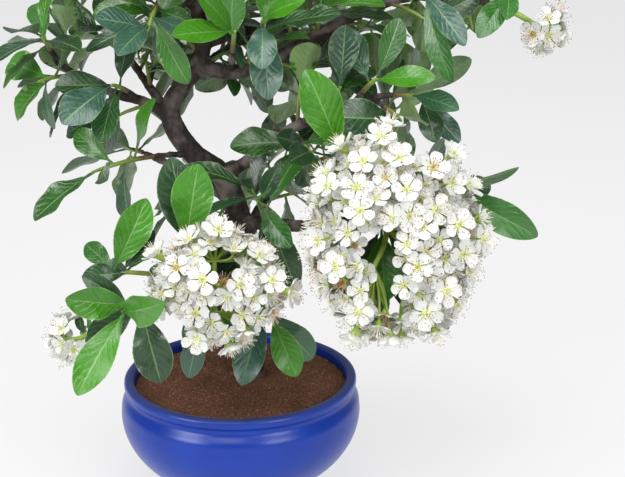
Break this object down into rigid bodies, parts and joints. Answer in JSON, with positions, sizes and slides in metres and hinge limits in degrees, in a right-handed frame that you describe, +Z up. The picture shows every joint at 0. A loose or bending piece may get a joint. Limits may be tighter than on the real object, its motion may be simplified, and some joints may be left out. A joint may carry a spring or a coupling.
{
  "type": "firethorn bonsai in pot",
  "caption": "Small flowering firethorn bonsai with curved trunk, glossy leafy shoots and domed white flower heads, planted in a round blue glazed bowl that stands on its flat foot.",
  "frame": {"origin": "middle of the pot's flat foot, on the surface that the pot stands on", "axes": "+Z up along the pot's axis, -Y towards the front, where the two large flower heads hang, +X to the right seen from the front"},
  "size_m": [0.1832, 0.1546, 0.2277],
  "materials": {
    "glaze": "gloss cobalt blue glaze on stoneware",
    "soil": "fine dark brown peaty soil",
    "screen": "dark moulded plastic mesh",
    "bark": "dark grey-brown bark",
    "leaf": "waxy green leaves on green shoots",
    "petal": "thin matt white petals on green stalks"
  },
  "bodies": {
    "root": {"drainage_screen": "screen", "flower_head_back_left": "petal", "flower_head_back_right": "petal", "flower_head_far_right": "petal", "flower_head_left": "petal", "flower_head_left_edge": "petal", "flower_head_right": "petal", "pot": "glaze", "soil": "soil", "spray_back": "leaf", "spray_back_low_left": "leaf", "spray_back_low_right": "leaf", "spray_back_right": "leaf", "spray_crown": "leaf", "spray_crown_back": "leaf", "spray_crown_back_left": "leaf", "spray_crown_front": "leaf", "spray_crown_right": "leaf", "spray_far_right": "leaf", "spray_front_left_hanging": "leaf", "spray_front_left_high": "leaf", "spray_front_left_low": "leaf", "spray_front_left_mid": "leaf", "spray_front_middle_hanging": "leaf", "spray_front_right_low": "leaf", "spray_front_right_out": "leaf", "spray_front_right_top": "leaf", "spray_left_back": "leaf", "spray_left_crown": "leaf", "spray_left_end": "leaf", "spray_left_outer": "leaf", "spray_left_top": "leaf", "spray_left_twig": "leaf", "spray_middle": "leaf", "spray_middle_back": "leaf", "spray_right_back": "leaf", "spray_right_crown": "leaf", "spray_right_inner": "leaf", "spray_right_mid": "leaf", "spray_right_top_back": "leaf", "spray_right_upright": "leaf", "spray_top_left": "leaf", "spray_top_left_middle": "leaf", "spray_top_middle": "leaf", "spray_upper_right": "leaf", "trunk_and_limbs": "bark"}
  },
  "joints": []
}
